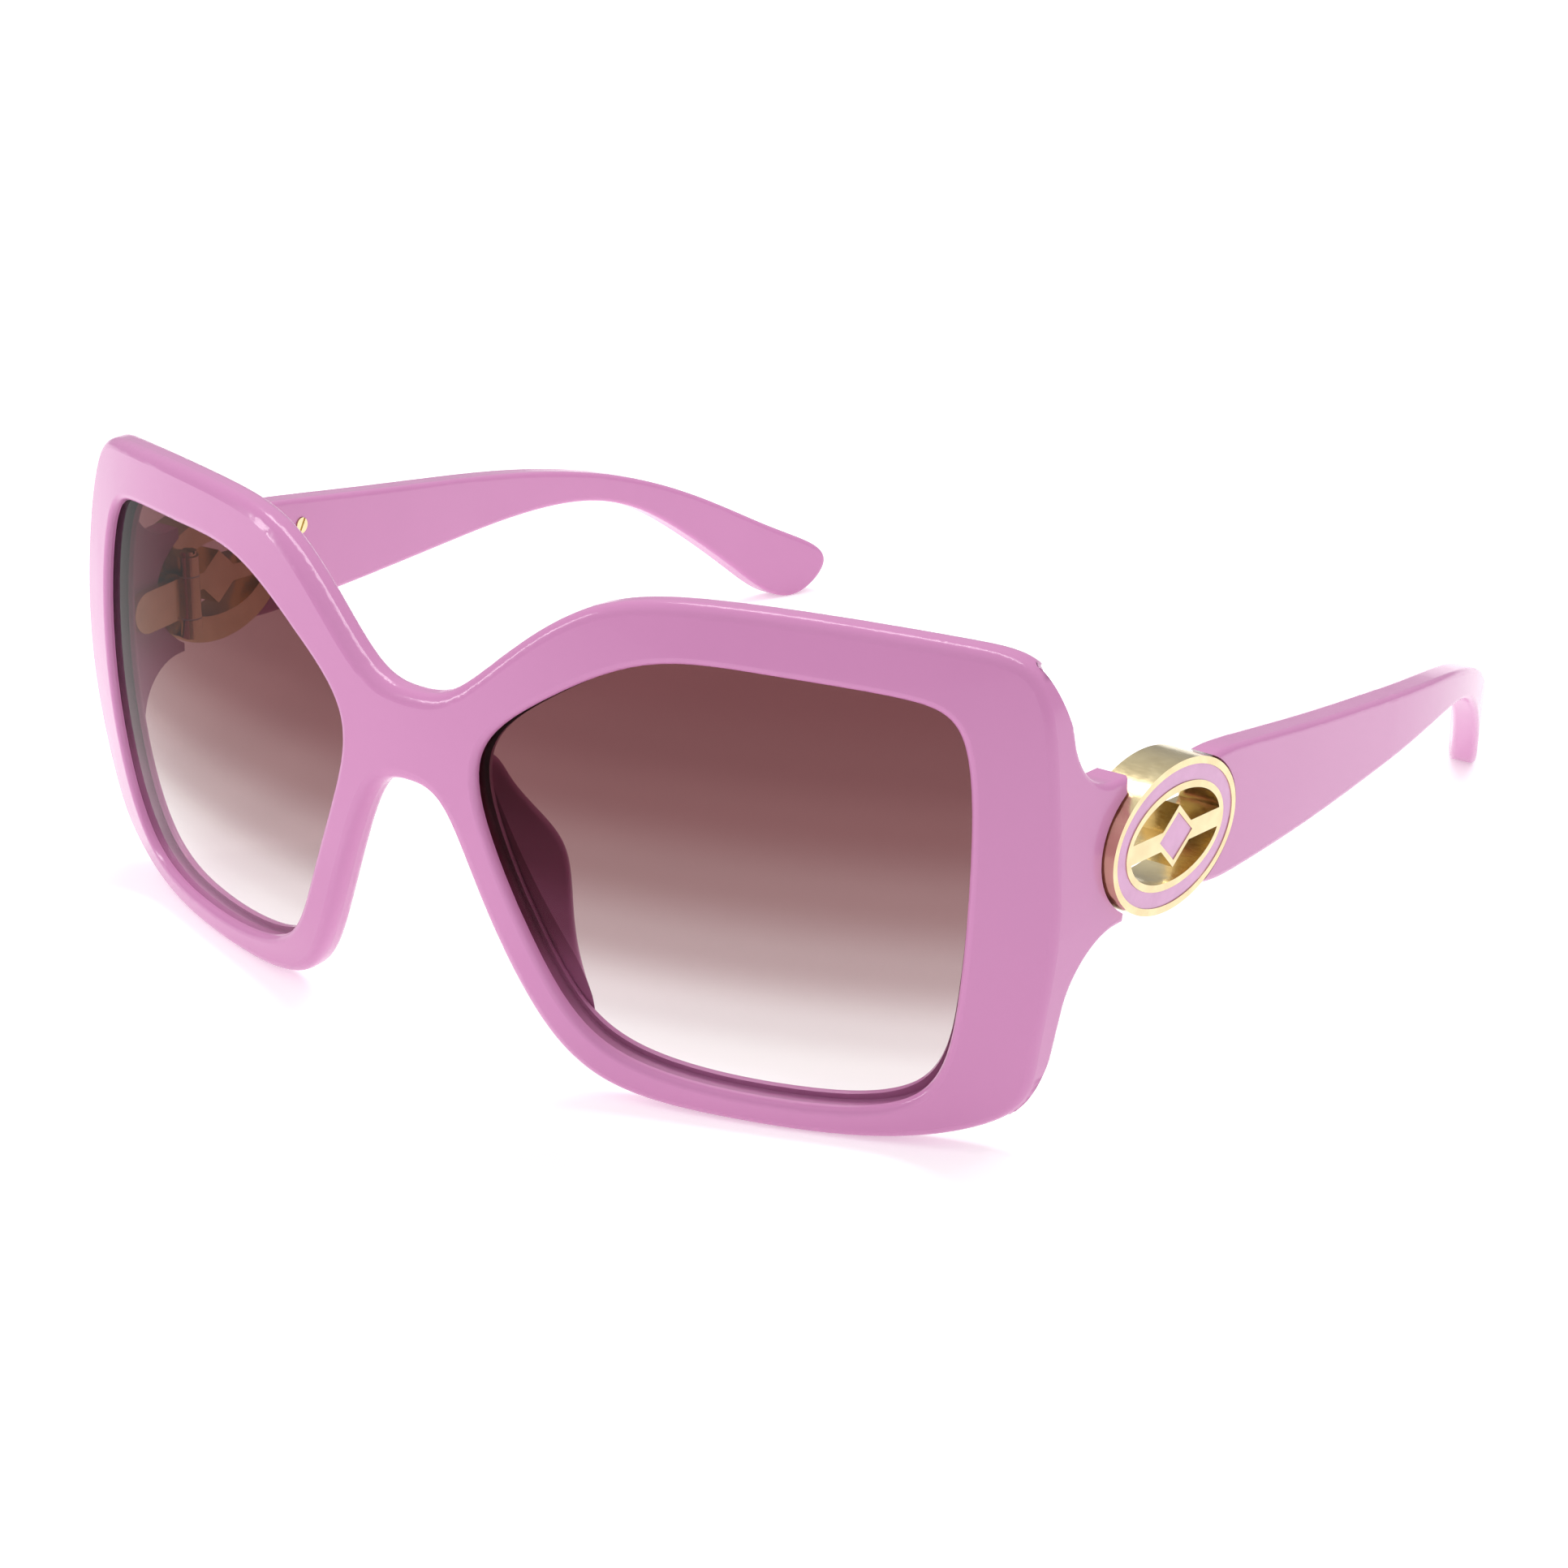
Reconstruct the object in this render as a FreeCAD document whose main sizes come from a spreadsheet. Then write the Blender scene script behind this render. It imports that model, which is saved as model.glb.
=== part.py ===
"""Cat eye sunglasses: a moulded front on one base curve, two lenses, bonded nose pads and two
folding temples, each hung on a cast oval openwork hinge with enamel inlay.

Every sub-part is drawn in the front's own axes: X to the wearer's left, Y back towards the
ears from the bridge's front face, Z up from the lens datum line.  Its Placement then stands
the closed-up assembly on Z = 0, centred on X and Y.
"""

import FreeCAD, Part
import math
import os
from FreeCAD import Placement, Rotation, Vector

DIMENSIONS = (
    # front
    ("base_radius", 140.0),
    ("curve_height", 1.0),
    ("front_thickness", 4.2),
    ("edge_radius", 1.7),
    ("rim_edge_radius", 0.8),
    ("rear_edge_radius", 1.4),
    ("rear_rim_edge_radius", 0.5),
    ("flare_edge_radius", 0.8),
    ("splay_datum", 22.5),
    ("splay_slope", 0.12),
    ("splay_start", 62.0),
    ("splay_full", 76.0),
    # endpieces, the corners that turn back to the hinges
    ("corner_depth", 27.4),
    ("endpiece_end", 36.8),
    ("endpiece_top", 11.1),
    ("endpiece_bottom", -7.1),
    ("flare_top_radius", 7.0),
    ("flare_bottom_radius", 8.0),
    ("endpiece_thickness", 5.2),
    ("endpiece_face", 76.3),
    # lenses
    ("lens_setback", 1.2),
    ("lens_thickness", 2.0),
    ("groove_depth", 0.8),
    ("groove_clearance", 0.04),
    ("bonding_gap", 0.01),
    # nose pads
    ("pad_x", 8.6),
    ("pad_y", 2.6),
    ("pad_thickness", 3.0),
    ("pad_flare", 27.0),
    ("pad_lean", 24.5),
    ("pad_edge_radius", 1.2),
    # oval hinge emblem
    ("oval_y", 45.0),
    ("oval_z", 1.5),
    ("oval_face", 79.5),
    ("oval_half_length", 13.9),
    ("oval_half_height", 9.4),
    ("oval_depth", 5.6),
    ("oval_swing", 3.4),
    ("oval_tilt", -4.0),
    ("oval_gap", 0.3),
    ("band_width", 3.8),
    ("border_width", 0.9),
    ("enamel_depth", 0.5),
    ("enamel_recess", 0.12),
    ("bar_height", 2.4),
    ("lozenge_half_length", 4.6),
    ("lozenge_half_height", 3.9),
    # hinge
    ("hinge_x", 71.3),
    ("hinge_y", 36.9),
    ("knuckle_radius", 1.5),
    ("screw_radius", 0.65),
    ("running_clearance", 0.03),
    ("leaf_low", -1.6),
    ("leaf_high", 4.4),
    ("leaf_front", 25.2),
    ("leaf_thickness", 1.2),
    ("anchor_pin_start", 27.4),
    ("anchor_pin_pitch", 2.2),
    ("anchor_pin_radius", 0.6),
    ("anchor_pin_length", 2.5),
    ("anchor_pin_root", 0.6),
    ("knuckle_gap", 0.2),
    ("washer_thickness", 0.16),
    ("outer_knuckle_height", 2.8),
    ("knuckle_neck_half_width", 1.2),
    ("knuckle_neck_reach", 3.4),
    ("screw_head_radius", 1.2),
    ("screw_head_height", 0.7),
    ("slot_half_width", 0.2),
    ("slot_depth", 0.35),
    # temples
    ("temple_thickness", 4.0),
    ("temple_front", 52.6),
    ("bow_y", 105.0),
    ("bow_face", 81.2),
    ("bow_front_radius", 1040.0),
    ("bow_rear_radius", 183.0),
    ("core_thickness", 1.3),
    ("core_height", 2.6),
    ("tongue_length", 10.0),
    ("temple_edge_radius", 0.8),
    ("tongue_half_height", 5.2),
    ("tongue_setback", 1.6),
    ("tongue_thickness", 1.6),
    ("temple_screw_along", 20.0),
    ("temple_screw_up", 3.6),
    ("temple_screw_radius", 0.7),
    ("temple_screw_head_radius", 1.2),
    ("temple_screw_head_height", 0.7),
    ("temple_screw_length", 1.9),
    ("temple_screw_seat", 3.75),
    ("temple_screw_cover", 1.2),
    ("tongue_hole_cover", 0.6),
    ("temple_slot_turn", 62.0),
)

# Reaches of the cutting solids, all well past the sunglasses.
BEYOND = 60.0
PLUG_FRONT = -8.0
PLUG_BACK = 50.0
TEMPLE_NEAR = 40.0

# Control points of the outline curves, in mm: (X, Z) or (Y, Z), and for the nose pad how far
# down the nose and how far back from the middle of the front.
OUTLINE_TOP = (0.0, 14.0)
OUTLINE_BOTTOM = (0.0, 3.0)
OUTLINE_SIDE = (
    (6.0, 14.5), (13.5, 22.0), (24.0, 30.0), (37.5, 31.0), (52.0, 30.5), (65.5, 29.0),
    (73.4, 27.4), (75.6, 12.0), (77.0, -5.0), (74.0, -21.0), (73.0, -29.5), (59.0, -34.5),
    (41.0, -34.0), (22.5, -33.5), (15.0, -22.0), (9.0, -7.0), (5.0, 2.5),
)
APERTURE = (
    (68.0, 1.0), (67.0, 20.5), (61.0, 23.0), (44.5, 24.0), (31.0, 24.5), (18.5, 17.0),
    (8.5, 9.5), (12.0, -2.0), (17.0, -13.5), (22.5, -25.5), (31.5, -29.5), (47.5, -30.5),
    (64.0, -29.5), (67.0, -14.5),
)
TEMPLE_SIDE = (
    (46.0, 10.6), (62.0, 8.4), (80.0, 5.3), (100.0, 2.3), (120.0, -0.8), (136.0, -4.2),
    (150.0, -8.9), (162.0, -14.8), (173.0, -21.3), (182.6, -25.8), (183.4, -29.8),
    (178.5, -34.7), (172.5, -34.0), (165.0, -27.0), (155.0, -18.8), (145.0, -12.0),
    (134.0, -8.3), (120.0, -7.5), (104.0, -7.9), (80.0, -8.5), (62.0, -8.3), (46.0, -7.8),
)
PAD_SIDE = (
    (-7.6, 1.5), (-6.6, 5.3), (-2.6, 5.6), (1.8, 7.6), (6.8, 9.9), (12.0, 8.6), (18.0, 6.6),
    (25.0, 6.1), (31.0, 6.6), (33.0, 1.0), (31.0, -5.0), (12.5, -6.0), (-5.0, -5.0),
)
CORE_LINE = (
    (70.0, 0.5), (90.0, -1.0), (110.0, -2.6), (125.0, -4.4), (140.0, -7.8), (152.0, -13.4),
    (160.0, -18.8), (168.0, -25.0),
)

doc = FreeCAD.newDocument("cat_eye_sunglasses")
parts = {}


def driving_sheet():
    """The spreadsheet of driving dimensions, one alias a row."""
    sheet = doc.addObject("Spreadsheet::Sheet", "dims")
    for row, (alias, value) in enumerate(DIMENSIONS, start=1):
        sheet.set(f"A{row}", alias)
        sheet.set(f"B{row}", str(value))
        sheet.setAlias(f"B{row}", alias)
    doc.recompute()
    return sheet


dims = driving_sheet()


def size(alias):
    """A driving dimension's value, read from the sheet."""
    return float(dims.get(alias))


def bind(obj, **expressions):
    """Bind an object's properties to expressions in the sheet's aliases."""
    for name, expression in expressions.items():
        obj.setExpression(name.replace("__", "."), expression)
    return obj


def named(obj, label):
    """Record an object as the sub-part with that name."""
    obj.Label = label
    parts[label] = obj
    return obj


# ---- drawing planes --------------------------------------------------------------------

FACING = Rotation(Vector(1, 0, 0), Vector(0, 0, 1), Vector(0, -1, 0), "XYZ")
SIDEWAYS = Rotation(Vector(0, 1, 0), Vector(0, 0, 1), Vector(1, 0, 0), "XYZ")
LEVEL = Rotation()


def sketch(name, rotation, origin=Vector()):
    """An empty sketch whose plane faces forward, sideways or up."""
    drawing = doc.addObject("Sketcher::SketchObject", name)
    drawing.Placement = Placement(origin, rotation)
    return drawing


def smooth_loop(drawing, poles, spans=2):
    """A closed cubic curve with those control points, in edges of a few spans each."""
    curve = Part.BSplineCurve()
    curve.buildFromPoles([Vector(u, v, 0) for u, v in poles], True, 3)
    knots = curve.getKnots()
    joints = knots[:-1:spans] + [knots[-1]]
    for start, end in zip(joints, joints[1:]):
        edge = curve.copy()
        edge.segment(start, end)
        drawing.addGeometry(edge)
    return drawing


def polygon(drawing, corners):
    """A closed loop of straight edges."""
    points = [Vector(u, v, 0) for u, v in corners]
    for start, end in zip(points, points[1:] + points[:1]):
        drawing.addGeometry(Part.LineSegment(start, end))
    return drawing


def extruded(name, profile, direction, length):
    """A sketch drawn out along a direction, by a number or an expression in the sheet's aliases."""
    solid = doc.addObject("Part::Extrusion", name)
    solid.Base = profile
    solid.DirMode = "Custom"
    solid.Dir = direction
    if isinstance(length, str):
        bind(solid, LengthFwd=length)
    else:
        solid.LengthFwd = length
    solid.Solid = True
    return solid


def lofted(name, first, last):
    """The ruled solid between two like sketches."""
    solid = doc.addObject("Part::Loft", name)
    solid.Sections = [first, last]
    solid.Solid = True
    solid.Ruled = True
    return solid


def boolean(kind, name, base, tool):
    """Part::Cut or Part::Common of two objects."""
    result = doc.addObject(f"Part::{kind}", name)
    result.Base = base
    result.Tool = tool
    result.Refine = True
    return result


def fused(name, shapes):
    """One solid of several."""
    result = doc.addObject("Part::MultiFuse", name)
    result.Shapes = shapes
    result.Refine = True
    return result


def mirrored(name, source):
    """The wearer's right-hand twin of a left-hand piece."""
    twin = doc.addObject("Part::Mirroring", name)
    twin.Source = source
    twin.Base = Vector()
    twin.Normal = Vector(1, 0, 0)
    return twin


def filleted(name, base, *rules):
    """Round edges: each rule is the driving radius and the test that picks its edges."""
    doc.recompute()
    result = doc.addObject("Part::Fillet", name)
    result.Base = base
    picked = []
    for i, edge in enumerate(base.Shape.Edges, start=1):
        for radius, choose in rules:
            if choose(edge):
                picked.append((i, size(radius), size(radius)))
                break
    result.Edges = picked
    return result


def midpoint(edge):
    """The point half way along an edge."""
    return edge.valueAt((edge.FirstParameter + edge.LastParameter) / 2)


def cylinder(name, radius, height, base, axis=Vector(0, 0, 1), clearance=None):
    """A Part::Cylinder whose radius is bound to the sheet."""
    solid = doc.addObject("Part::Cylinder", name)
    expression = f"dims.{radius}" + (f" + dims.{clearance}" if clearance else "")
    bind(solid, Radius=expression)
    solid.Height = height
    solid.Placement = Placement(base, Rotation(Vector(0, 0, 1), axis))
    return solid


def block(name, low, high):
    """A Part::Box between two corners."""
    solid = doc.addObject("Part::Box", name)
    solid.Length = high[0] - low[0]
    solid.Width = high[1] - low[1]
    solid.Height = high[2] - low[2]
    solid.Placement = Placement(Vector(*low), Rotation())
    return solid


# ---- the base curve ----------------------------------------------------------------------

def ball(name, inset):
    """A ball about the base curve's centre, inset from the front's face."""
    solid = doc.addObject("Part::Sphere", name)
    bind(solid, Radius=f"dims.base_radius - ({inset})")
    bind(solid, Placement__Base__y="dims.base_radius", Placement__Base__z="dims.curve_height")
    return solid


def shell(name, outer, inner):
    """The layer between two insets from the front's face."""
    return boolean("Cut", name, ball(name + "_outside", outer), ball(name + "_inside", inner))


def radial_poles(poles, depth):
    """Points of the face carried to the plane Y = depth, in line with the curve's centre."""
    radius = size("base_radius")
    height = size("curve_height")
    carried = []
    for x, z in poles:
        reach = math.sqrt(radius**2 - x**2 - (z - height) ** 2)
        scale = (radius - depth) / reach
        carried.append((x * scale, height + (z - height) * scale))
    return carried


def radial_plug(name, poles):
    """A solid whose wall stands square to the base curve all round an opening."""
    sections = []
    for end, depth in (("front", PLUG_FRONT), ("back", PLUG_BACK)):
        drawing = sketch(f"{name}_{end}", FACING, Vector(0, depth, 0))
        sections.append(smooth_loop(drawing, radial_poles(poles, depth)))
    return lofted(name, *sections)


def grown(poles, margin):
    """An outline enlarged about its middle by a margin all round."""
    xs = [x for x, z in poles]
    zs = [z for x, z in poles]
    middle_x = (min(xs) + max(xs)) / 2
    middle_z = (min(zs) + max(zs)) / 2
    wide = 1 + 2 * margin / (max(xs) - min(xs))
    tall = 1 + 2 * margin / (max(zs) - min(zs))
    return [(middle_x + (x - middle_x) * wide, middle_z + (z - middle_z) * tall) for x, z in poles]


# ---- front -------------------------------------------------------------------------------

def splayed_outline(depth):
    """The front's outline where it crosses Y = depth: its sides open out towards the hinges."""
    spread = []
    for x, z in OUTLINE_SIDE:
        share = (x - size("splay_start")) / (size("splay_full") - size("splay_start"))
        slope = size("splay_slope") * min(max(share, 0.0), 1.0)
        spread.append((x + slope * (depth - size("splay_datum")), z))
    left = [OUTLINE_TOP] + spread + [OUTLINE_BOTTOM]
    right = [(-x, z) for x, z in reversed(spread)]
    return left + right


def outline_plug():
    """Everything inside the front's outline."""
    sections = []
    for end, depth in (("front", PLUG_FRONT), ("back", PLUG_BACK)):
        drawing = sketch(f"outline_{end}", FACING, Vector(0, depth, 0))
        sections.append(smooth_loop(drawing, splayed_outline(depth)))
    return lofted("outline_plug", *sections)


def side_profile():
    """The side view of the front: full height at the rims, narrowing to the endpieces."""
    half_span = 100.0
    drawing = sketch("side_profile", SIDEWAYS, Vector(-half_span, 0, 0))
    corner = size("corner_depth")
    end = size("endpiece_end")
    top = size("endpiece_top")
    bottom = size("endpiece_bottom")
    high = size("flare_top_radius")
    low = size("flare_bottom_radius")
    up = Vector(0, 0, 1)
    rising = Part.Circle(Vector(corner + high, top + high, 0), up, high)
    falling = Part.Circle(Vector(corner + low, bottom - low, 0), up, low)
    for geometry in (
        Part.LineSegment(Vector(-BEYOND, BEYOND, 0), Vector(corner, BEYOND, 0)),
        Part.LineSegment(Vector(corner, BEYOND, 0), Vector(corner, top + high, 0)),
        Part.ArcOfCircle(rising, math.pi, 1.5 * math.pi),
        Part.LineSegment(Vector(corner + high, top, 0), Vector(end, top, 0)),
        Part.LineSegment(Vector(end, top, 0), Vector(end, bottom, 0)),
        Part.LineSegment(Vector(end, bottom, 0), Vector(corner + low, bottom, 0)),
        Part.ArcOfCircle(falling, 0.5 * math.pi, math.pi),
        Part.LineSegment(Vector(corner, bottom - low, 0), Vector(corner, -BEYOND, 0)),
        Part.LineSegment(Vector(corner, -BEYOND, 0), Vector(-BEYOND, -BEYOND, 0)),
        Part.LineSegment(Vector(-BEYOND, -BEYOND, 0), Vector(-BEYOND, BEYOND, 0)),
    ):
        drawing.addGeometry(geometry)
    return extruded("side_plug", drawing, Vector(1, 0, 0), 2 * half_span)


def endpiece_inner(y):
    """X of the endpiece's inner face at that depth."""
    face = size("endpiece_face") + size("splay_slope") * (y - size("splay_datum"))
    return face - size("endpiece_thickness")


def endpiece_stock():
    """The material that carries the rim's corner back along the wearer's temple."""
    drawing = sketch("endpiece_plan", LEVEL, Vector(0, 0, -BEYOND))
    near, far, outside = 5.0, 45.0, 95.0
    corners = [(endpiece_inner(near), near), (outside, near), (outside, far), (endpiece_inner(far), far)]
    return extruded("endpiece_stock", polygon(drawing, corners), Vector(0, 0, 1), 2 * BEYOND)


def front_blank():
    """The front before its lens openings: base-curved plate and endpieces within both outlines."""
    inside = outline_plug()
    plate = boolean("Common", "plate", shell("plate_layer", "0", "dims.front_thickness"), inside)
    thickness = size("front_thickness")
    soft = filleted("plate_soft", plate, ("rear_edge_radius", lambda e: on_layer(e, thickness)))
    curved = boolean("Common", "endpiece_curved", ball("endpiece_ball", "0"), endpiece_stock())
    within = boolean("Common", "endpiece_within_outline", curved, inside)
    flared = boolean("Common", "endpiece_flared", within, side_profile())
    corner = filleted("endpiece_left", flared, ("flare_edge_radius", on_endpiece_outside))
    return fused("front_blank", [soft, corner, mirrored("endpiece_right", corner)])


def on_layer(edge, inset):
    """Whether an edge lies on the base curve's layer at that inset."""
    centre = Vector(0, size("base_radius"), size("curve_height"))
    distance = (midpoint(edge) - centre).Length
    return abs(distance - size("base_radius") + inset) < 0.02


def on_aperture(edge):
    """Whether an edge bounds a lens opening."""
    point = midpoint(edge)
    poles = [Vector(x, point.y, z) for x, z in radial_poles(APERTURE, point.y)]
    loop = Part.BSplineCurve()
    loop.buildFromPoles(poles, True, 3)
    left_hand = Part.Vertex(abs(point.x), point.y, point.z)
    return loop.toShape().distToShape(left_hand)[0] < 0.1


def on_endpiece_outside(edge):
    """Whether an edge bounds the outer side of an endpiece, behind the rim."""
    point = midpoint(edge)
    return point.y > size("corner_depth") - 0.05 and edge.Curve.TypeId == "Part::GeomBSplineCurve"


# ---- oval emblem's own axes: along its length, up, and out of its face -------------------

SWING = math.radians(size("oval_swing"))
TILT = math.radians(size("oval_tilt"))
OVAL_ORIGIN = Vector(size("oval_face"), size("oval_y"), size("oval_z"))
OVAL_OUT = Vector(math.cos(SWING), -math.sin(SWING), 0)
LEVEL_ALONG = Vector(math.sin(SWING), math.cos(SWING), 0)
OVAL_ALONG = LEVEL_ALONG * math.cos(TILT) + Vector(0, 0, math.sin(TILT))
OVAL_UP = OVAL_OUT.cross(OVAL_ALONG)
ON_OVAL = Rotation(OVAL_ALONG, OVAL_UP, OVAL_OUT, "XYZ")


def oval_point(along, up, out):
    """A point given in the emblem's own axes."""
    return OVAL_ORIGIN + OVAL_ALONG * along + OVAL_UP * up + OVAL_OUT * out


def oval_sketch(name, out=0.0):
    """A sketch parallel to the emblem's face."""
    return sketch(name, ON_OVAL, oval_point(0, 0, out))


def add_oval(drawing, inset):
    """The emblem's ellipse, inset from its rim."""
    half_length = size("oval_half_length") - inset
    half_height = size("oval_half_height") - inset
    drawing.addGeometry(Part.Ellipse(Vector(), half_length, half_height))
    return drawing


def add_lozenge(drawing, inset):
    """The rhombus at the emblem's middle, inset from its edge."""
    wide = size("lozenge_half_length") - inset
    tall = size("lozenge_half_height") - inset
    return polygon(drawing, ((wide, 0), (0, tall), (-wide, 0), (0, -tall)))


def oval_prism(name, drawing, depth):
    """A sketch on the emblem's face drawn inwards."""
    return extruded(name, drawing, -OVAL_OUT, depth)


def oval_cup(name):
    """The recess that the endpiece and the temple each leave around the emblem."""
    above = 12.0
    drawing = add_oval(oval_sketch(name + "_line", above), -size("oval_gap"))
    return oval_prism(name, drawing, above + BEYOND / 2)


def oval_block(name, low, high):
    """A box between two corners in the emblem's own axes."""
    solid = doc.addObject("Part::Box", name)
    solid.Length = high[0] - low[0]
    solid.Width = high[1] - low[1]
    solid.Height = high[2] - low[2]
    solid.Placement = Placement(oval_point(*low), ON_OVAL)
    return solid


# ---- front, lenses and nose pads -----------------------------------------------------------

def leaf_axes():
    """The hinge leaf's plane: along the endpiece's inner face, up, and out through it."""
    slope = math.atan(size("splay_slope"))
    out = Vector(math.cos(slope), -math.sin(slope), 0)
    along = Vector(math.sin(slope), math.cos(slope), 0)
    return along, Vector(0, 0, 1), out


def anchor_pins(name, clearance):
    """The two pins that seat the hinge leaf in its endpiece."""
    out = leaf_axes()[2]
    height = (size("leaf_low") + size("leaf_high")) / 2
    pins = []
    for i in range(2):
        y = size("anchor_pin_start") + i * size("anchor_pin_pitch")
        base = Vector(endpiece_inner(y), y, height) - out * size("anchor_pin_root")
        pin = doc.addObject("Part::Cylinder", f"{name}_{i}")
        bind(pin, Radius=f"dims.anchor_pin_radius + {clearance}")
        bind(pin, Height=f"dims.anchor_pin_length + dims.anchor_pin_root + {clearance}")
        pin.Placement = Placement(base, Rotation(Vector(0, 0, 1), out))
        pins.append(pin)
    return pins


def make_front():
    """The moulded front: openings, rounded edges, lens grooves, hinge seats and emblem cups."""
    blank = front_blank()
    openings = [radial_plug("aperture_left", APERTURE)]
    openings.append(mirrored("aperture_right", openings[0]))
    pierced = boolean("Cut", "front_pierced", blank, fused("apertures", openings))
    rounded = filleted(
        "front_rounded",
        pierced,
        ("rim_edge_radius", lambda edge: on_layer(edge, 0) and on_aperture(edge)),
        ("edge_radius", lambda edge: on_layer(edge, 0)),
        (
            "rear_rim_edge_radius",
            lambda edge: on_layer(edge, size("front_thickness")) and on_aperture(edge),
        ),
    )
    grown_plug = radial_plug("groove_plug", grown(APERTURE, size("groove_depth")))
    layer = shell(
        "groove_layer",
        "dims.lens_setback - dims.groove_clearance",
        "dims.lens_setback + dims.lens_thickness + dims.groove_clearance",
    )
    groove = boolean("Common", "groove_left", layer, grown_plug)
    cups = oval_cup("cup_left")
    seats = fused("seats_left", anchor_pins("seat_left", size("running_clearance")) + [cups])
    hollows = [groove, mirrored("groove_right", groove), seats, mirrored("seats_right", seats)]
    front = boolean("Cut", "front", rounded, fused("front_hollows", hollows))
    return named(front, "front_frame")


def make_lenses():
    """Two lenses of even thickness on the base curve, edged to sit in the grooves."""
    margin = size("groove_depth") - size("groove_clearance")
    plug = radial_plug("lens_plug", grown(APERTURE, margin))
    layer = shell("lens_layer", "dims.lens_setback", "dims.lens_setback + dims.lens_thickness")
    left = named(boolean("Common", "lens_l", layer, plug), "lens_left")
    named(mirrored("lens_r", left), "lens_right")


def make_nose_pads():
    """Bonded pads: rounded plates that lean with the nasal rims and flare backwards."""
    lean = math.radians(size("pad_lean"))
    flare = math.radians(size("pad_flare"))
    down = Vector(math.sin(lean), 0, -math.cos(lean))
    outward = Vector(math.cos(lean), 0, math.sin(lean))
    back = Vector(0, 1, 0) * math.cos(flare) + outward * math.sin(flare)
    facing = down.cross(back)
    origin = Vector(size("pad_x"), size("pad_y"), 0.0) - facing * (size("pad_thickness") / 2)
    drawing = sketch("pad_line", Rotation(down, back, facing, "XYZ"), origin)
    plate = extruded("pad_plate", smooth_loop(drawing, PAD_SIDE), facing, "dims.pad_thickness")
    soft = filleted("pad_soft", plate, ("pad_edge_radius", lambda edge: edge.Length > 3.5))
    behind = ball("pad_ball", "dims.front_thickness + 2 * dims.bonding_gap")
    left = boolean("Common", "pad_l", soft, behind)
    named(left, "nose_pad_left")
    named(mirrored("pad_r", left), "nose_pad_right")


# ---- hinges ----------------------------------------------------------------------------------

def hinge_cylinder(name, radius, low, high, clearance=None):
    """A cylinder on the hinge's axis between two heights."""
    base = Vector(size("hinge_x"), size("hinge_y"), low)
    return cylinder(name, radius, high - low, base, clearance=clearance)


def knuckle_heights():
    """The heights of the emblem's lower and upper knuckles."""
    low = size("leaf_low") - size("knuckle_gap")
    high = size("leaf_high") + size("knuckle_gap")
    tall = size("outer_knuckle_height")
    return (low - tall, low), (high, high + tall)


def screw_bore(name):
    """The hinge screw's running bore, through all three knuckles."""
    lower, upper = knuckle_heights()
    return hinge_cylinder(name, "screw_radius", lower[0] - 1, upper[1] + 1, "running_clearance")


def make_hinge_leaves():
    """The front leaf: a round-nosed plate on the endpiece's inner face with the middle knuckle."""
    along, up, out = leaf_axes()
    low = size("leaf_low")
    high = size("leaf_high")
    round_nose = (high - low) / 2
    start = size("leaf_front")
    run = size("hinge_y") - start
    gap = size("bonding_gap")
    origin = Vector(endpiece_inner(start), start, (low + high) / 2) - out * 2 * gap
    drawing = sketch("leaf_line", Rotation(along, up, out, "XYZ"), origin)
    nose = Part.Circle(Vector(round_nose, 0, 0), Vector(0, 0, 1), round_nose)
    top = Vector(round_nose, round_nose, 0)
    bottom = Vector(round_nose, -round_nose, 0)
    far_top = Vector(run, round_nose, 0)
    far_bottom = Vector(run, -round_nose, 0)
    drawing.addGeometry(Part.ArcOfCircle(nose, 0.5 * math.pi, 1.5 * math.pi))
    for ends in ((bottom, far_bottom), (far_bottom, far_top), (far_top, top)):
        drawing.addGeometry(Part.LineSegment(*ends))
    plate = extruded("leaf_plate", drawing, -out, "dims.leaf_thickness")
    knuckle = hinge_cylinder("leaf_knuckle", "knuckle_radius", low, high)
    body = fused("leaf_body", [plate, knuckle] + anchor_pins("leaf_pin", 0.0))
    left = named(boolean("Cut", "leaf_l", body, screw_bore("leaf_bore")), "hinge_leaf_left")
    named(mirrored("leaf_r", left), "hinge_leaf_right")


def make_hinge_screws():
    """Slotted screws, headed above the upper knuckle and seated in the lower one."""
    lower, upper = knuckle_heights()
    shank = hinge_cylinder("screw_shank", "screw_radius", lower[0] + 0.2, upper[1] + 0.1)
    top = upper[1] + size("screw_head_height")
    seat = upper[1] + size("bonding_gap")
    head = hinge_cylinder("screw_head", "screw_head_radius", seat, top)
    across = size("screw_head_radius") + 0.5
    x = size("hinge_x")
    y = size("hinge_y")
    half = size("slot_half_width")
    floor = top - size("slot_depth")
    slot = block("screw_slot", (x - across, y - half, floor), (x + across, y + half, top + 1))
    screw = boolean("Cut", "screw_l", fused("screw_body", [shank, head]), slot)
    left = named(screw, "hinge_screw_left")
    named(mirrored("screw_r", left), "hinge_screw_right")


def make_washers():
    """Friction washers above and below each middle knuckle, in pairs."""
    thick = size("washer_thickness")
    play = (size("knuckle_gap") - thick) / 2
    rings = []
    for i, low in enumerate((size("leaf_high") + play, size("leaf_low") - play - thick)):
        disc = hinge_cylinder(f"washer_disc_{i}", "knuckle_radius", low, low + thick)
        hole = hinge_cylinder(
            f"washer_hole_{i}", "screw_radius", low - 1, low + 1, "running_clearance"
        )
        rings.append(boolean("Cut", f"washer_{i}", disc, hole))
    left = named(fused("washers_l", rings), "hinge_washers_left")
    named(mirrored("washers_r", left), "hinge_washers_right")


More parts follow.
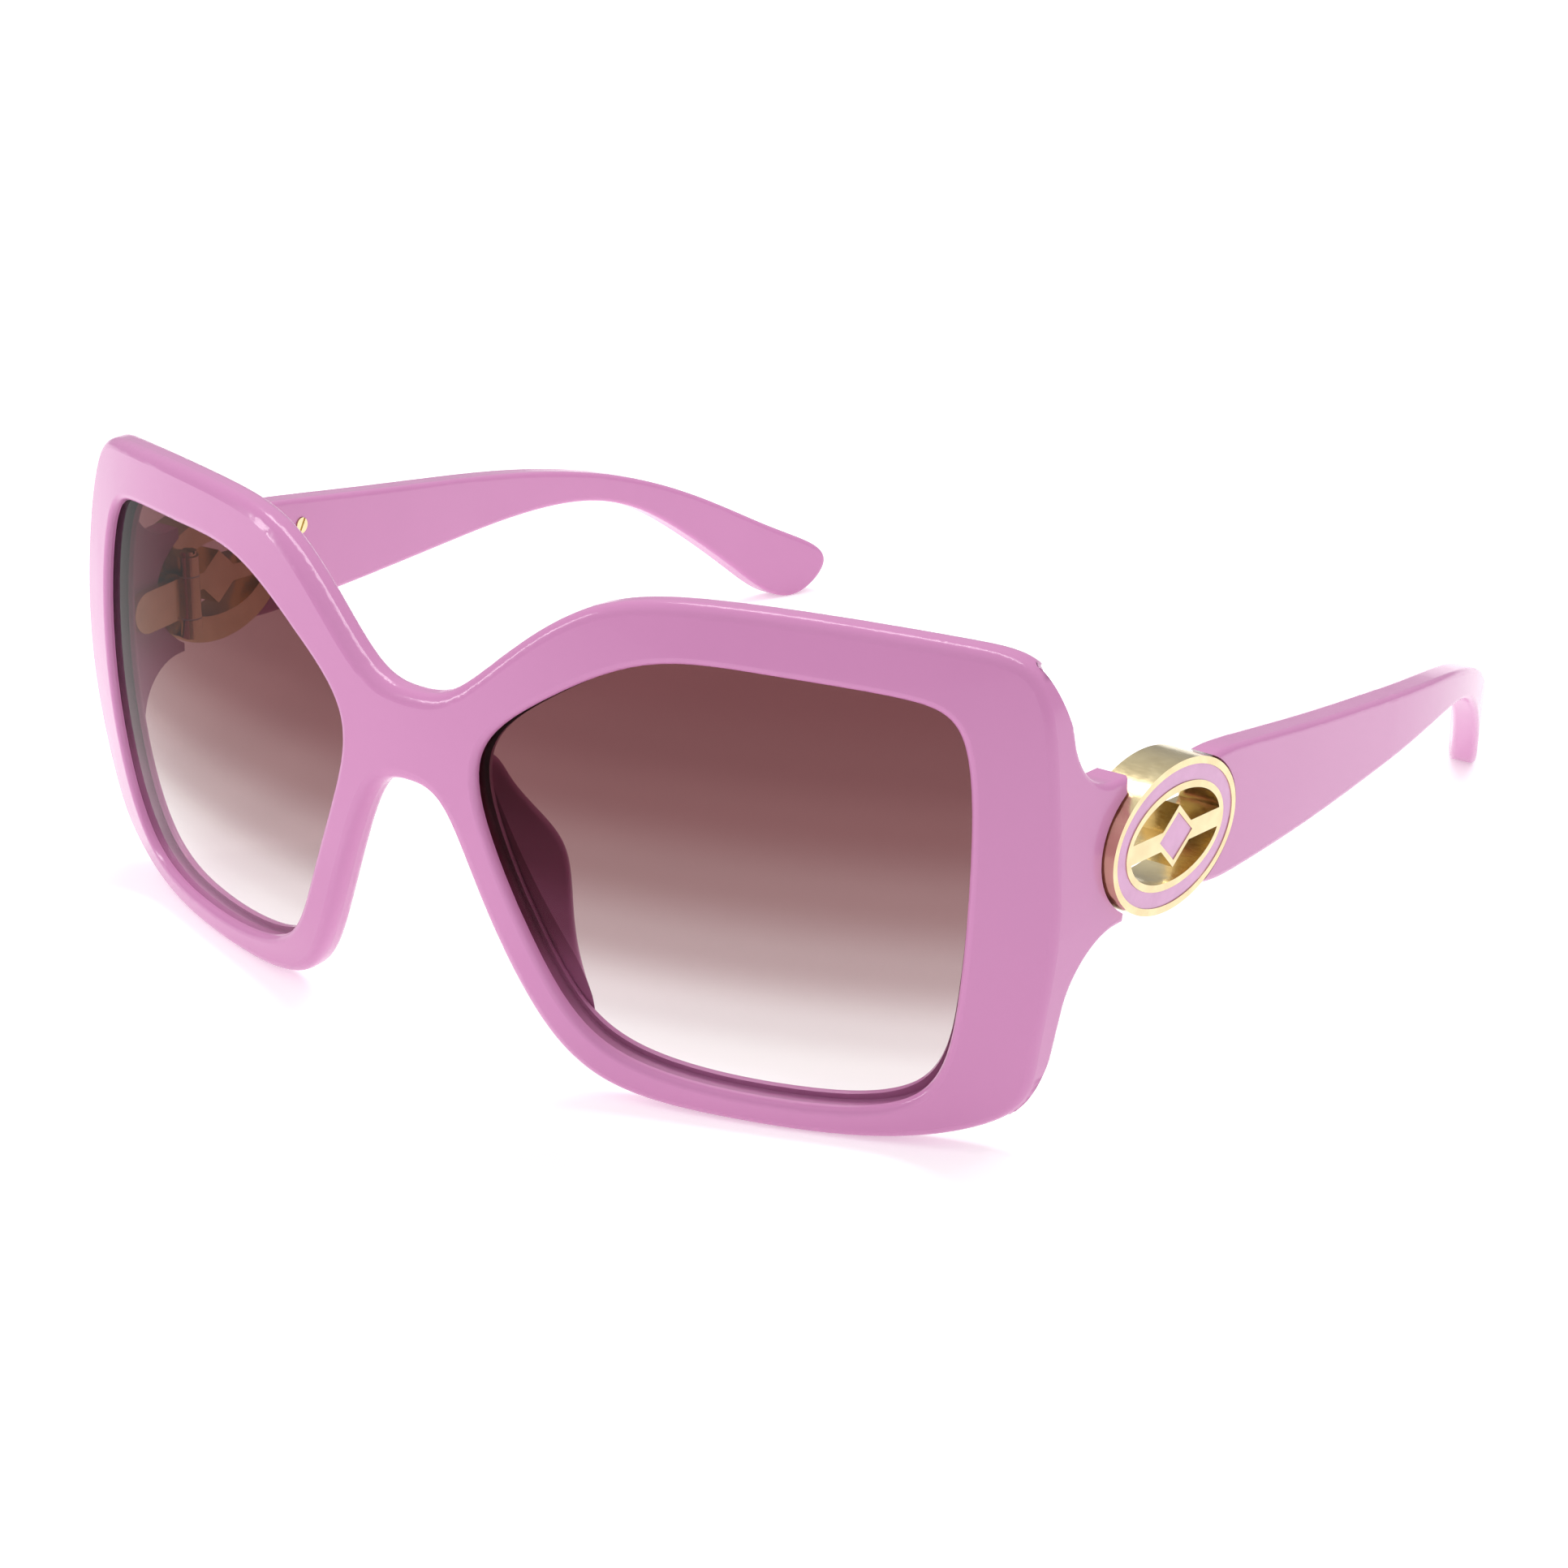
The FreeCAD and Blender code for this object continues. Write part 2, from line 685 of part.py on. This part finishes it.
def band_windows(name, inset, out):
    """The emblem's ring between two ellipses, inset from both of its borders."""
    drawing = add_oval(oval_sketch(name, out), inset)
    return add_oval(drawing, size("band_width") - inset)


def temple_screw_origin(out):
    """A point on the temple screw's axis, in the emblem's out direction."""
    return oval_point(size("temple_screw_along"), size("temple_screw_up"), out)


def tongue_corners(clearance):
    """The emblem's tongue inside the temple, in the emblem's axes."""
    start = size("oval_half_length") - 0.5 * size("band_width")
    end = size("oval_half_length") + size("tongue_length") + clearance
    half = size("tongue_half_height") + clearance
    near = -size("tongue_setback") + clearance
    far = -size("tongue_setback") - size("tongue_thickness") - clearance
    return (start, -half, far), (end, half, near)


def make_emblems():
    """The cast oval: ring, bar and lozenge, with two knuckles inside and a tongue behind."""
    depth = "dims.oval_depth"
    inside = size("oval_half_length") - size("band_width") + 1.0
    half_bar = size("bar_height") / 2
    bar_line = polygon(
        oval_sketch("bar_line"),
        ((-inside, -half_bar), (inside, -half_bar), (inside, half_bar), (-inside, half_bar)),
    )
    pieces = [
        oval_prism("oval_ring", band_windows("oval_line", 0.0, 0.0), depth),
        oval_prism("oval_bar", bar_line, depth),
        oval_prism("oval_lozenge", add_lozenge(oval_sketch("lozenge_line"), 0.0), depth),
        oval_block("oval_tongue", *tongue_corners(0.0)),
    ]
    x = size("hinge_x")
    y = size("hinge_y")
    neck = size("knuckle_neck_half_width")
    root = x + size("knuckle_neck_reach")
    for i, (low, high) in enumerate(knuckle_heights()):
        pieces.append(hinge_cylinder(f"knuckle_{i}", "knuckle_radius", low, high))
        pieces.append(block(f"knuckle_neck_{i}", (x, y - neck, low), (root, y + neck, high)))
    casting = fused("oval_casting", pieces)
    border = size("border_width")
    ring_inlay = band_windows("ring_channel_line", border, 0.0)
    lozenge_inlay = add_lozenge(oval_sketch("lozenge_channel_line"), border)
    base = temple_screw_origin(-size("oval_depth"))
    through = size("oval_depth") - size("tongue_hole_cover")
    hollows = [
        screw_bore("emblem_bore"),
        oval_prism("ring_channel", ring_inlay, "dims.enamel_depth"),
        oval_prism("lozenge_channel", lozenge_inlay, "dims.enamel_depth"),
        cylinder("tongue_hole", "temple_screw_radius", through, base, OVAL_OUT, "running_clearance"),
    ]
    emblem = boolean("Cut", "emblem_l", casting, fused("emblem_hollows", hollows))
    left = named(emblem, "hinge_emblem_left")
    named(mirrored("emblem_r", left), "hinge_emblem_right")


def make_enamel():
    """Enamel fills, a little below the gold borders that hold them."""
    recess = size("enamel_recess")
    border = size("border_width") + size("bonding_gap")
    thick = "dims.enamel_depth - dims.enamel_recess - dims.bonding_gap"
    ring = oval_prism("enamel_ring_l", band_windows("enamel_ring_line", border, -recess), thick)
    lozenge_line = add_lozenge(oval_sketch("enamel_lozenge_line", -recess), border)
    lozenge = oval_prism("enamel_lozenge_l", lozenge_line, thick)
    for piece, label in ((ring, "enamel_ring"), (lozenge, "enamel_lozenge")):
        named(piece, label + "_left")
        named(mirrored(label + "_r", piece), label + "_right")


# ---- temples ---------------------------------------------------------------------------------

def bowed_band(name, low, high):
    """A temple's plan: two tangent arcs between two depths below its outer face."""
    drawing = sketch(name + "_plan", LEVEL, Vector(0, 0, -BEYOND))
    datum = size("bow_y")
    face = size("bow_face")
    up = Vector(0, 0, 1)
    gentle = size("bow_front_radius")
    tight = size("bow_rear_radius")
    ahead, behind = 65.0, 95.0
    corners = []
    for inset in (low, high):
        front = Part.Circle(Vector(face - gentle, datum, 0), up, gentle - inset)
        rear = Part.Circle(Vector(face - tight, datum, 0), up, tight - inset)
        start = -math.asin(ahead / gentle)
        end = math.asin(behind / tight)
        drawing.addGeometry(Part.ArcOfCircle(front, start, 0))
        drawing.addGeometry(Part.ArcOfCircle(rear, 0, end))
        corners.append((front.value(start), rear.value(end)))
    for near, far in zip(*corners):
        drawing.addGeometry(Part.LineSegment(near, far))
    return extruded(name, drawing, Vector(0, 0, 1), 2 * BEYOND)


def core_wire(name, clearance):
    """A temple's core wire, or with a clearance the channel that it is shot into."""
    half_thick = size("core_thickness") / 2 + clearance
    middle = size("temple_thickness") / 2
    band = bowed_band(name + "_band", middle - half_thick, middle + half_thick)
    half = size("core_height") / 2 + clearance
    points = [Vector(y, z, 0) for y, z in CORE_LINE]
    points[0].x -= clearance
    points[-1] += (points[-1] - points[-2]).normalize() * clearance
    line = Part.BSplineCurve()
    line.interpolate(points)
    drawing = sketch(name + "_line", SIDEWAYS, Vector(TEMPLE_NEAR, 0, 0))
    ends = []
    for shift in (half, -half):
        edge = line.copy()
        edge.translate(Vector(0, shift, 0))
        drawing.addGeometry(edge)
        ends.append((edge.StartPoint, edge.EndPoint))
    for near, far in zip(*ends):
        drawing.addGeometry(Part.LineSegment(near, far))
    strip = extruded(name + "_strip", drawing, Vector(1, 0, 0), BEYOND)
    return boolean("Common", name, band, strip)


def make_temples():
    """Temples: bowed in plan, tapering to the ear bend, with a flared tip and a wire core."""
    thick = size("temple_thickness")
    side = smooth_loop(sketch("temple_side", SIDEWAYS, Vector(TEMPLE_NEAR, 0, 0)), TEMPLE_SIDE)
    profile = extruded("temple_profile", side, Vector(1, 0, 0), BEYOND)
    blank = boolean("Common", "temple_blank", bowed_band("temple_band", 0.0, thick), profile)
    rounded = filleted("temple_rounded", blank, ("temple_edge_radius", lambda e: e.Length > 4.5))
    start = size("temple_front")
    ahead = block("temple_ahead", (TEMPLE_NEAR, 0, -TEMPLE_NEAR), (100, start, TEMPLE_NEAR))
    core = core_wire("core_l", 0.0)
    channel = core_wire("core_channel", size("running_clearance"))
    below = 2.0
    screw_base = temple_screw_origin(-size("oval_depth") - below)
    bore_depth = below + size("oval_depth") - size("temple_screw_cover")
    bore = cylinder(
        "temple_bore", "temple_screw_radius", bore_depth, screw_base, OVAL_OUT, "running_clearance"
    )
    seat_depth = below + size("oval_depth") - size("temple_screw_seat")
    seat = cylinder(
        "temple_seat", "temple_screw_head_radius", seat_depth, screw_base, OVAL_OUT,
        "running_clearance",
    )
    slot = oval_block("tongue_slot", *tongue_corners(size("running_clearance")))
    hollows = [ahead, oval_cup("temple_cup"), slot, bore, seat]
    open_temple = boolean("Cut", "temple_open", rounded, fused("temple_hollows", hollows))
    left = named(boolean("Cut", "temple_l", open_temple, channel), "temple_left")
    named(mirrored("temple_r", left), "temple_right")
    named(core, "temple_core_left")
    named(mirrored("core_r", core), "temple_core_right")


def make_temple_screws():
    """Slotted screws through each temple's inner face into the emblem's tongue."""
    seat = -size("temple_screw_seat") - size("bonding_gap")
    head_height = size("temple_screw_head_height")
    head_base = temple_screw_origin(seat - head_height)
    shank_length = head_height + size("temple_screw_length")
    head = cylinder("tscrew_head", "temple_screw_head_radius", head_height, head_base, OVAL_OUT)
    shank = cylinder("tscrew_shank", "temple_screw_radius", shank_length, head_base, OVAL_OUT)
    along = size("temple_screw_along")
    up = size("temple_screw_up")
    out = seat - head_height
    half = size("slot_half_width")
    floor = out + size("slot_depth")
    slot = oval_block("tscrew_slot", (along - 3, up - half, out - 1), (along + 3, up + half, floor))
    slot.Placement = slot_turned(slot.Placement, temple_screw_origin(0.0))
    screw = boolean("Cut", "tscrew_l", fused("tscrew_body", [head, shank]), slot)
    left = named(screw, "temple_screw_left")
    named(mirrored("tscrew_r", left), "temple_screw_right")


def slot_turned(placement, centre):
    """A screw slot's placement turned about its screw, as it comes to rest when tightened."""
    turn = Placement(Vector(), Rotation(OVAL_OUT, size("temple_slot_turn")), centre)
    return turn.multiply(placement)


# ---- assembly ----------------------------------------------------------------------------------

def stand_up():
    """Place every left-hand or single piece so that the whole stands on Z = 0, centred."""
    box = FreeCAD.BoundBox()
    for piece in parts.values():
        box.add(piece.Shape.optimalBoundingBox())
    offset = Vector(0, -(box.YMin + box.YMax) / 2, -box.ZMin)
    for piece in parts.values():
        if piece.TypeId != "Part::Mirroring":
            piece.Placement = Placement(offset, Rotation()).multiply(piece.Placement)
    doc.recompute()
    print("moved by", offset, "overall", box.XLength, box.YLength, box.ZLength)


def check_and_export():
    """Stop on any failed object or shape, then write each sub-part's STEP file."""
    for obj in doc.Objects:
        if "Invalid" in obj.State or "Error" in obj.State:
            raise RuntimeError(f"{obj.Name} failed: {obj.State}")
    os.makedirs("parts", exist_ok=True)
    for label, piece in sorted(parts.items()):
        shape = piece.Shape
        if shape.isNull() or not shape.isValid() or not shape.Solids:
            raise RuntimeError(f"{label} has no valid solid")
        shape.exportStep(os.path.join("parts", label + ".step"))
        print(f"{label}: {len(shape.Solids)} solid, {shape.Volume:.1f} mm3")


make_front()
make_lenses()
make_nose_pads()
make_hinge_leaves()
make_hinge_screws()
make_washers()
make_emblems()
make_enamel()
make_temples()
make_temple_screws()
doc.recompute()
stand_up()
check_and_export()
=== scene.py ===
"""Looks for the cat eye sunglasses: polished pink acetate, gradient lenses, pale gold and enamel.

Lengths are in metres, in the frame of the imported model.
"""

import math

import bpy
from mathutils import Matrix, Vector


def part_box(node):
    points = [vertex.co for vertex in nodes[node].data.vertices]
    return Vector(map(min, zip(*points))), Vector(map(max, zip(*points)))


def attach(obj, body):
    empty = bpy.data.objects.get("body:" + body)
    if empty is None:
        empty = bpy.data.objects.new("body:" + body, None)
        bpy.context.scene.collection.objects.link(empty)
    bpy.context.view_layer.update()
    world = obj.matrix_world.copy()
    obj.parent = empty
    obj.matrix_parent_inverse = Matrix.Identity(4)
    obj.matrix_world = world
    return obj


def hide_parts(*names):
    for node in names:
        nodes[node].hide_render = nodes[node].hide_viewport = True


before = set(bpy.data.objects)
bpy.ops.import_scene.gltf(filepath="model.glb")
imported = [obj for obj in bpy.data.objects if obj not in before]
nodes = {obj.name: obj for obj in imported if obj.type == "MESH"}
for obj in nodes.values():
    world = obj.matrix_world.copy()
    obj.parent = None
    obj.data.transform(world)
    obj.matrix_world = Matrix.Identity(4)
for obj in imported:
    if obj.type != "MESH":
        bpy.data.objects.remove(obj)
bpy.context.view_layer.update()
SIDES = ("left", "right")
WHITE = (1, 1, 1, 1)

# ---- where things are --------------------------------------------------------------------

front_low, front_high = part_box("front_frame")
front_face = front_low.y
lens_low, lens_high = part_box("lens_left")


# Behind each rim's outer corners the moulding leans in, above and below these heights.
CORNER_INNER = 0.0708
CORNER_BACK = front_face + 0.02735
CORNER_TOP = front_high.z - 0.0125
CORNER_BOTTOM = front_low.z + 0.0137
CORNER_LEAN = 0.38


def moulding():
    """The front, its rear corners leaning in to meet the rounded edge of the plate."""
    mesh = nodes["front_frame"].data.copy()
    for vertex in mesh.vertices:
        past = max(vertex.co.z - CORNER_TOP, CORNER_BOTTOM - vertex.co.z, 0.0)
        if past and abs(vertex.co.x) > CORNER_INNER:
            vertex.co.y = min(vertex.co.y, CORNER_BACK - CORNER_LEAN * past)
    piece = bpy.data.objects.new("front_moulding", mesh)
    bpy.context.scene.collection.objects.link(piece)
    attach(piece, "front")
    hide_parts("front_frame")
    return piece


# ---- node tree helpers --------------------------------------------------------------------

class Tree:
    """A material's node tree, with short ways to add and join nodes."""

    def __init__(self, name):
        self.material = bpy.data.materials.new(name)
        self.material.use_nodes = True
        self.nodes = self.material.node_tree.nodes
        self.links = self.material.node_tree.links
        self.nodes.clear()
        self.output = self.nodes.new("ShaderNodeOutputMaterial")

    def add(self, kind, **settings):
        """A node with its properties and its unlinked sockets set."""
        node = self.nodes.new("ShaderNode" + kind)
        for name, value in settings.items():
            if hasattr(node, name):
                setattr(node, name, value)
            else:
                node.inputs[name.replace("_", " ")].default_value = value
        return node

    def join(self, source, target):
        self.links.new(source, target)

    def place(self):
        """The point being shaded, in the object's own axes."""
        return self.add("TexCoord").outputs["Object"]

    def noise(self, scale, detail=3.0, roughness=0.5):
        node = self.add("TexNoise")
        node.inputs["Scale"].default_value = scale
        node.inputs["Detail"].default_value = detail
        node.inputs["Roughness"].default_value = roughness
        self.join(self.place(), node.inputs["Vector"])
        return node.outputs["Fac"]

    def ranged(self, source, low, high, start=0.3, end=0.7):
        """A noise or other factor carried to a range of values."""
        node = self.add("MapRange")
        node.inputs["From Min"].default_value = start
        node.inputs["From Max"].default_value = end
        node.inputs["To Min"].default_value = low
        node.inputs["To Max"].default_value = high
        self.join(source, node.inputs["Value"])
        return node.outputs["Result"]

    def ramp(self, source, stops, interpolation="LINEAR"):
        node = self.add("ValToRGB")
        node.color_ramp.interpolation = interpolation
        elements = node.color_ramp.elements
        while len(elements) < len(stops):
            elements.new(0.5)
        for element, (position, colour) in zip(elements, stops):
            element.position = position
            element.color = (*colour, 1)
        self.join(source, node.inputs["Fac"])
        return node.outputs["Color"]

    def bump(self, source, strength, distance):
        node = self.add("Bump")
        node.inputs["Strength"].default_value = strength
        node.inputs["Distance"].default_value = distance
        self.join(source, node.inputs["Height"])
        return node.outputs["Normal"]

    def principled(self, **values):
        node = self.add("BsdfPrincipled")
        for name, value in values.items():
            node.inputs[name.replace("_", " ")].default_value = value
        self.join(node.outputs["BSDF"], self.output.inputs["Surface"])
        return node


# ---- materials ----------------------------------------------------------------------------

ACETATE_COLOUR = (0.655, 0.262, 0.510)
ACETATE_SHADE = (0.640, 0.254, 0.498)


def acetate():
    """Tumbled and buffed opaque acetate: even pink, with a faint cloud and a polishing haze."""
    tree = Tree("pink_acetate")
    shader = tree.principled(IOR=1.40, Coat_Weight=0.2, Coat_Roughness=0.03, Coat_IOR=1.45)
    cloud = tree.noise(40.0, 2.0)
    colour = tree.ramp(cloud, ((0.35, ACETATE_SHADE), (0.65, ACETATE_COLOUR)))
    tree.join(colour, shader.inputs["Base Color"])
    haze = tree.noise(260.0, 3.0, 0.6)
    tree.join(tree.ranged(haze, 0.17, 0.22), shader.inputs["Roughness"])
    return tree.material


def enamel():
    """Fired enamel: pink glass, wavy where it flowed against the gold."""
    tree = Tree("pink_enamel")
    shader = tree.principled(IOR=1.52, Coat_Weight=1.0, Coat_Roughness=0.03, Coat_IOR=1.52)
    cloud = tree.noise(300.0, 2.0)
    colour = tree.ramp(cloud, ((0.3, (0.62, 0.24, 0.50)), (0.7, (0.70, 0.29, 0.58))))
    tree.join(colour, shader.inputs["Base Color"])
    tree.join(tree.ranged(tree.noise(1200.0), 0.16, 0.26), shader.inputs["Roughness"])
    tree.join(tree.bump(tree.noise(500.0, 1.0), 0.10, 0.0002), shader.inputs["Normal"])
    return tree.material


def gold():
    """Pale gold plating, polished, with the faint drag lines of a buffing wheel."""
    tree = Tree("pale_gold")
    shader = tree.principled(Metallic=1.0)
    tarnish = tree.noise(420.0, 3.0)
    colour = tree.ramp(tarnish, ((0.35, (0.74, 0.61, 0.35)), (0.65, (0.82, 0.69, 0.41))))
    tree.join(colour, shader.inputs["Base Color"])
    stretch = tree.add("Mapping")
    stretch.inputs["Scale"].default_value = (900, 900, 9000)
    tree.join(tree.place(), stretch.inputs["Vector"])
    drag = tree.add("TexNoise")
    drag.inputs["Scale"].default_value = 1.0
    drag.inputs["Detail"].default_value = 3.0
    tree.join(stretch.outputs["Vector"], drag.inputs["Vector"])
    tree.join(tree.ranged(drag.outputs["Fac"], 0.13, 0.25), shader.inputs["Roughness"])
    tree.join(tree.bump(drag.outputs["Fac"], 0.04, 0.00005), shader.inputs["Normal"])
    return tree.material


LENS_TINTS = (
    (0.00, (0.84, 0.83, 0.83)),
    (0.10, (0.76, 0.73, 0.72)),
    (0.20, (0.64, 0.58, 0.575)),
    (0.36, (0.376, 0.278, 0.278)),
    (0.52, (0.251, 0.147, 0.147)),
    (0.68, (0.174, 0.079, 0.080)),
    (0.80, (0.145, 0.059, 0.061)),
    (0.95, (0.133, 0.049, 0.052)),
)


def lens():
    """A dyed lens, dark brown above and nearly clear below, half of the dye at each face."""
    tree = Tree("gradient_lens")
    height = tree.add("SeparateXYZ")
    tree.join(tree.place(), height.inputs["Vector"])
    share = tree.ranged(height.outputs["Z"], 0.0, 1.0, lens_low.z, lens_high.z)
    stops = [(at, tuple(math.sqrt(c) for c in tint)) for at, tint in LENS_TINTS]
    half_tint = tree.ramp(share, stops, "EASE")
    through = tree.add("BsdfTransparent")
    tree.join(half_tint, through.inputs["Color"])
    gloss = tree.add("BsdfGlossy")
    gloss.inputs["Roughness"].default_value = 0.02
    gloss.inputs["Color"].default_value = WHITE
    fresnel = tree.add("Fresnel")
    fresnel.inputs["IOR"].default_value = 1.12
    outside = tree.add("Math", operation="SUBTRACT")
    outside.inputs[0].default_value = 1.0
    tree.join(tree.add("NewGeometry").outputs["Backfacing"], outside.inputs[1])
    entering = tree.add("Math", operation="MULTIPLY")
    tree.join(outside.outputs["Value"], entering.inputs[0])
    tree.join(fresnel.outputs["Fac"], entering.inputs[1])
    mixed = tree.add("MixShader")
    tree.join(entering.outputs["Value"], mixed.inputs["Fac"])
    tree.join(through.outputs["BSDF"], mixed.inputs[1])
    tree.join(gloss.outputs["BSDF"], mixed.inputs[2])
    tree.join(mixed.outputs["Shader"], tree.output.inputs["Surface"])
    return tree.material


def nylon():
    """Milky nylon for the friction washers."""
    tree = Tree("nylon")
    shader = tree.principled(IOR=1.53, Subsurface_Weight=0.3, Subsurface_Scale=0.001)
    colour = tree.ramp(tree.noise(800.0), ((0.3, (0.78, 0.77, 0.73)), (0.7, (0.86, 0.85, 0.81))))
    tree.join(colour, shader.inputs["Base Color"])
    tree.join(tree.ranged(tree.noise(2500.0), 0.4, 0.55), shader.inputs["Roughness"])
    return tree.material


def core_wire():
    """Drawn nickel silver wire."""
    tree = Tree("core_wire")
    shader = tree.principled(Metallic=1.0)
    colour = tree.ramp(tree.noise(600.0), ((0.3, (0.55, 0.55, 0.53)), (0.7, (0.66, 0.65, 0.62))))
    tree.join(colour, shader.inputs["Base Color"])
    tree.join(tree.ranged(tree.noise(3000.0), 0.25, 0.4), shader.inputs["Roughness"])
    return tree.material


def paint(material, *pieces):
    """Give pieces a material."""
    for piece in pieces:
        piece.data.materials.clear()
        piece.data.materials.append(material)


def cad(*names):
    """The CAD nodes of those names, left and right."""
    return [nodes[f"{name}_{side}"] for name in names for side in SIDES]


pink = acetate()
paint(pink, moulding())
paint(pink, *cad("temple", "nose_pad"))
paint(lens(), *cad("lens"))
paint(gold(), *cad("hinge_leaf", "hinge_emblem", "hinge_screw", "temple_screw"))
paint(enamel(), *cad("enamel_ring", "enamel_lozenge"))
paint(nylon(), *cad("hinge_washers"))
paint(core_wire(), *cad("temple_core"))


# ---- studio --------------------------------------------------------------------------------

FLOOR_REACH = 4.0


def floor():
    """A wide white floor under the sunglasses, lit slightly from within like a light table."""
    mesh = bpy.data.meshes.new("floor")
    near, far = -FLOOR_REACH, FLOOR_REACH
    mesh.from_pydata([(near, near, 0), (far, near, 0), (far, far, 0), (near, far, 0)], [], [(0, 1, 2, 3)])
    plane = bpy.data.objects.new("floor", mesh)
    bpy.context.scene.collection.objects.link(plane)
    tree = Tree("floor_paint")
    shader = tree.principled(Roughness=0.9, Emission_Strength=0.36)
    shader.inputs["Emission Color"].default_value = WHITE
    colour = tree.ramp(tree.noise(3.0), ((0.3, (0.90, 0.90, 0.90)), (0.7, (0.92, 0.92, 0.92))))
    tree.join(colour, shader.inputs["Base Color"])
    mesh.materials.append(tree.material)


def softbox(name, centre, aim, wide, tall, watts):
    """An area light that faces a point."""
    light = bpy.data.lights.new(name, "AREA")
    light.shape = "RECTANGLE"
    light.size = wide
    light.size_y = tall
    light.energy = watts
    lamp = bpy.data.objects.new(name, light)
    lamp.location = centre
    lamp.rotation_euler = (Vector(aim) - Vector(centre)).to_track_quat("-Z", "Y").to_euler()
    bpy.context.scene.collection.objects.link(lamp)


HORIZON_GREY = (0.42, 0.42, 0.42, 1)
SKY_STRENGTH = 0.82


def sky():
    """The white tent around the object, brighter overhead."""
    world = bpy.data.worlds.new("tent")
    world.use_nodes = True
    tree = world.node_tree
    background = tree.nodes["Background"]
    place = tree.nodes.new("ShaderNodeTexCoord")
    split = tree.nodes.new("ShaderNodeSeparateXYZ")
    ramp = tree.nodes.new("ShaderNodeValToRGB")
    horizon, overhead = ramp.color_ramp.elements
    horizon.position = 0.0
    horizon.color = HORIZON_GREY
    overhead.position = 0.9
    overhead.color = WHITE
    tree.links.new(place.outputs["Generated"], split.inputs["Vector"])
    tree.links.new(split.outputs["Z"], ramp.inputs["Fac"])
    tree.links.new(ramp.outputs["Color"], background.inputs["Color"])
    background.inputs["Strength"].default_value = SKY_STRENGTH
    bpy.context.scene.world = world


floor()
sky()
softbox("overhead", (0.0, 0.25, 0.80), (0, 0, 0.03), 0.9, 0.16, 3.2)
softbox("left_of_camera", (-0.80, -0.60, 0.40), (0, -0.05, 0.03), 0.12, 0.7, 2.6)

# ---- camera --------------------------------------------------------------------------------

AZIMUTH = math.radians(33.69)
ELEVATION = math.radians(22.38)
ROLL = math.radians(1.46)
DISTANCE = 0.3609
ASIDE = 0.0452
ABOVE = 0.0026
DATUM = Vector((0, front_face, 0.03415))
FOCAL_RATIO = 1.9327
SENSOR_WIDTH = 36.0


def camera():
    """The camera at the photograph's viewing angle, level but for a slight roll."""
    back = Vector(
        (
            math.sin(AZIMUTH) * math.cos(ELEVATION),
            -math.cos(AZIMUTH) * math.cos(ELEVATION),
            math.sin(ELEVATION),
        )
    )
    level = Vector((math.cos(AZIMUTH), math.sin(AZIMUTH), 0))
    rise = back.cross(level)
    right = level * math.cos(ROLL) + rise * math.sin(ROLL)
    up = back.cross(right)
    data = bpy.data.cameras.new("camera")
    data.sensor_width = SENSOR_WIDTH
    data.lens = SENSOR_WIDTH * FOCAL_RATIO
    data.clip_start = 0.01
    eye = DATUM + back * DISTANCE + right * ASIDE + up * ABOVE
    turn = Matrix((right, up, back)).transposed().to_4x4()
    shooter = bpy.data.objects.new("camera", data)
    shooter.matrix_world = Matrix.Translation(eye) @ turn
    bpy.context.scene.collection.objects.link(shooter)
    bpy.context.scene.camera = shooter


camera()
bpy.context.scene.view_settings.view_transform = "Standard"
